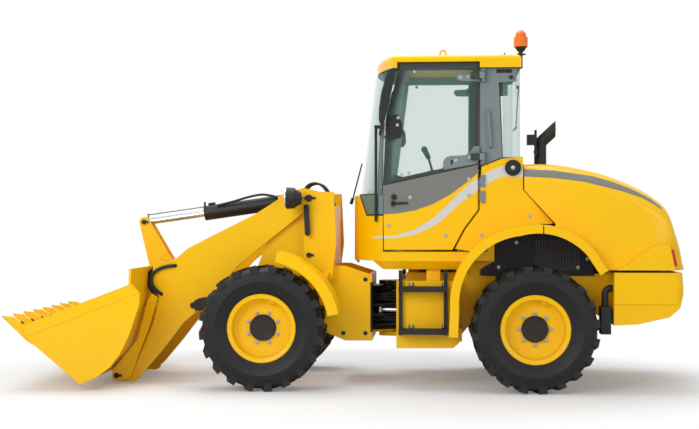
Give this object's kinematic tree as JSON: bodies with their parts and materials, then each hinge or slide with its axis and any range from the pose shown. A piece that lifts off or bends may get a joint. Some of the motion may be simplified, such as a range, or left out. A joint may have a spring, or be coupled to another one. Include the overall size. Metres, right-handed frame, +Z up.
{
  "type": "articulated wheel loader",
  "caption": "Compact articulated wheel loader with a glazed cab, Z-bar boom linkage and a toothed bucket, parked with the bucket rolled back.",
  "frame": {"origin": "on the ground under the middle of the whole length and width", "axes": "+X forward towards the bucket, +Y to the machine's left, +Z up"},
  "size_m": [6.252, 2.15, 3.3498],
  "materials": {
    "yellow_paint": "glossy machine yellow paint over plate and castings",
    "yellow_plastic": "moulded covers in the same yellow",
    "grey_paint": "satin blue-grey paint on the cab's pillars",
    "black_paint": "satin black paint",
    "black_iron": "dark castings",
    "black_plastic": "matt black plastic",
    "black_fabric": "black woven seat cloth",
    "cab_glass": "pale green tinted safety glass",
    "chrome": "polished cylinder rods",
    "tyre": "black rubber with deep lugs",
    "amber_plastic": "amber warning dome",
    "lamp_red": "red tail lenses"
  },
  "bodies": {
    "rear": {"rear_frame": "yellow_paint", "rear_axle": "yellow_paint", "engine_block": "black_iron", "cab_base": "yellow_paint", "cab_frame": "grey_paint", "cab_roof": "yellow_plastic", "cab_glass": "cab_glass", "side_panels": "yellow_plastic", "arch_panels": "black_paint", "counterweight": "yellow_paint", "exhaust_stack": "black_paint", "steps": "black_paint", "seat": "black_fabric", "controls": "black_plastic", "beacon": "amber_plastic", "mirrors": "black_plastic", "filler_cap": "black_plastic", "valve_block": "black_iron", "air_box": "black_plastic"},
    "front": {"front_frame": "yellow_paint", "front_axle": "yellow_paint", "front_mudguards": "yellow_plastic", "headlights": "black_plastic", "indicator_paddles": "black_plastic"},
    "boom": {"boom": "yellow_paint"},
    "crank": {"bell_crank": "yellow_paint"},
    "link": {"tilt_link": "yellow_paint"},
    "bucket": {"coupler": "yellow_paint", "bucket": "yellow_paint"},
    "tilt_barrel": {"tilt_barrel": "black_paint"},
    "tilt_rod": {"tilt_rod": "chrome"},
    "lift_barrels": {"lift_barrels": "yellow_paint"},
    "lift_rods": {"lift_rods": "chrome"},
    "steer_barrel_left": {"steer_barrel_left": "black_paint"},
    "steer_rod_left": {"steer_rod_left": "chrome"},
    "steer_barrel_right": {"steer_barrel_right": "black_paint"},
    "steer_rod_right": {"steer_rod_right": "chrome"},
    "hood": {"hood": "yellow_plastic", "tail_lamps": "lamp_red"},
    "door_left": {"door_left": "yellow_paint", "door_glass_left": "cab_glass"},
    "door_right": {"door_right": "yellow_paint", "door_glass_right": "cab_glass"},
    "wheel_front_left": {"rim_front_left": "yellow_paint", "tyre_front_left": "tyre"},
    "wheel_front_right": {"rim_front_right": "yellow_paint", "tyre_front_right": "tyre"},
    "wheel_rear_left": {"rim_rear_left": "yellow_paint", "tyre_rear_left": "tyre"},
    "wheel_rear_right": {"rim_rear_right": "yellow_paint", "tyre_rear_right": "tyre"}
  },
  "joints": [
    {"name": "steering", "type": "hinge", "parent": "rear", "child": "front", "pos_m": [-0.391, 0, 0.7], "axis": [0, 0, 1], "range_deg": [-35, 35]},
    {"name": "boom_lift", "type": "hinge", "parent": "front", "child": "boom", "pos_m": [0.342, 0, 1.773], "axis": [0, -1, 0], "range_deg": [0, 80]},
    {"name": "bucket_tilt", "type": "hinge", "parent": "boom", "child": "bucket", "pos_m": [2.189, 0, 0.078], "axis": [0, 1, 0], "range_deg": [0, 152]},
    {"name": "crank_turn", "type": "hinge", "parent": "boom", "child": "crank", "pos_m": [1.849, 0, 1.105], "axis": [0, -1, 0], "range_deg": [0, 75]},
    {"name": "link_swing", "type": "hinge", "parent": "bucket", "child": "link", "pos_m": [1.99384, 0, 0.3278], "axis": [0, -1, 0], "range_deg": [0, 139.1]},
    {"name": "tilt_barrel_swing", "type": "hinge", "parent": "front", "child": "tilt_barrel", "pos_m": [0.6, 0, 1.752], "axis": [0, -1, 0], "range_deg": [0, 83]},
    {"name": "tilt_rod_slide", "type": "slide", "parent": "tilt_barrel", "child": "tilt_rod", "axis": [-0.9897, 0, 0.1429], "range_m": [0, 0.3318]},
    {"name": "lift_barrel_swing", "type": "hinge", "parent": "front", "child": "lift_barrels", "pos_m": [0.342, 0, 1.234], "axis": [0, -1, 0], "range_deg": [0, 74.02]},
    {"name": "lift_rod_slide", "type": "slide", "parent": "lift_barrels", "child": "lift_rods", "axis": [0.9171, 0, -0.3986], "range_m": [0, 0.6746]},
    {"name": "steer_barrel_swing_left", "type": "hinge", "parent": "rear", "child": "steer_barrel_left", "pos_m": [-1, 0.33, 0.7], "axis": [0, 0, 1], "range_deg": [-0.98, 0.98]},
    {"name": "steer_rod_slide_left", "type": "slide", "parent": "steer_barrel_left", "child": "steer_rod_left", "axis": [0.9835, -0.1811, 0], "range_m": [-0.1242, 0.1242]},
    {"name": "steer_barrel_swing_right", "type": "hinge", "parent": "rear", "child": "steer_barrel_right", "pos_m": [-1, -0.33, 0.7], "axis": [0, 0, 1], "range_deg": [-0.98, 0.98]},
    {"name": "steer_rod_slide_right", "type": "slide", "parent": "steer_barrel_right", "child": "steer_rod_right", "axis": [0.9835, 0.1811, 0], "range_m": [-0.1242, 0.1242]},
    {"name": "hood_lift", "type": "hinge", "parent": "rear", "child": "hood", "pos_m": [-3.104, 0, 1.122], "axis": [0, -1, 0], "range_deg": [0, 55]},
    {"name": "door_left_swing", "type": "hinge", "parent": "rear", "child": "door_left", "pos_m": [-1.292, 0.748, 2.5], "axis": [0, 0, 1], "range_deg": [0, 80]},
    {"name": "door_right_swing", "type": "hinge", "parent": "rear", "child": "door_right", "pos_m": [-1.292, -0.748, 2.5], "axis": [0, 0, -1], "range_deg": [0, 80]},
    {"name": "wheel_front_left_roll", "type": "hinge", "parent": "front", "child": "wheel_front_left", "pos_m": [0.732, 0.82, 0.575], "axis": [0, 1, 0], "continuous": true},
    {"name": "wheel_front_right_roll", "type": "hinge", "parent": "front", "child": "wheel_front_right", "pos_m": [0.732, -0.82, 0.575], "axis": [0, 1, 0], "continuous": true},
    {"name": "wheel_rear_left_roll", "type": "hinge", "parent": "rear", "child": "wheel_rear_left", "pos_m": [-1.754, 0.82, 0.575], "axis": [0, 1, 0], "continuous": true},
    {"name": "wheel_rear_right_roll", "type": "hinge", "parent": "rear", "child": "wheel_rear_right", "pos_m": [-1.754, -0.82, 0.575], "axis": [0, 1, 0], "continuous": true}
  ],
  "couplings": [
    {"joint": "crank_turn", "follows": "bucket_tilt", "ratio": 0.49341},
    {"joint": "link_swing", "follows": "bucket_tilt", "ratio": 0.91506},
    {"joint": "tilt_barrel_swing", "follows": "boom_lift", "ratio": 1.0374},
    {"joint": "tilt_rod_slide", "follows": "bucket_tilt", "m_per_rad": 0.12489},
    {"joint": "lift_barrel_swing", "follows": "boom_lift", "ratio": 0.9252},
    {"joint": "lift_rod_slide", "follows": "boom_lift", "m_per_rad": 0.48297},
    {"joint": "steer_barrel_swing_left", "follows": "steering", "ratio": 0.02769},
    {"joint": "steer_barrel_swing_right", "follows": "steering", "ratio": 0.02769},
    {"joint": "steer_rod_slide_left", "follows": "steering", "m_per_rad": -0.20254},
    {"joint": "steer_rod_slide_right", "follows": "steering", "m_per_rad": 0.20254}
  ]
}
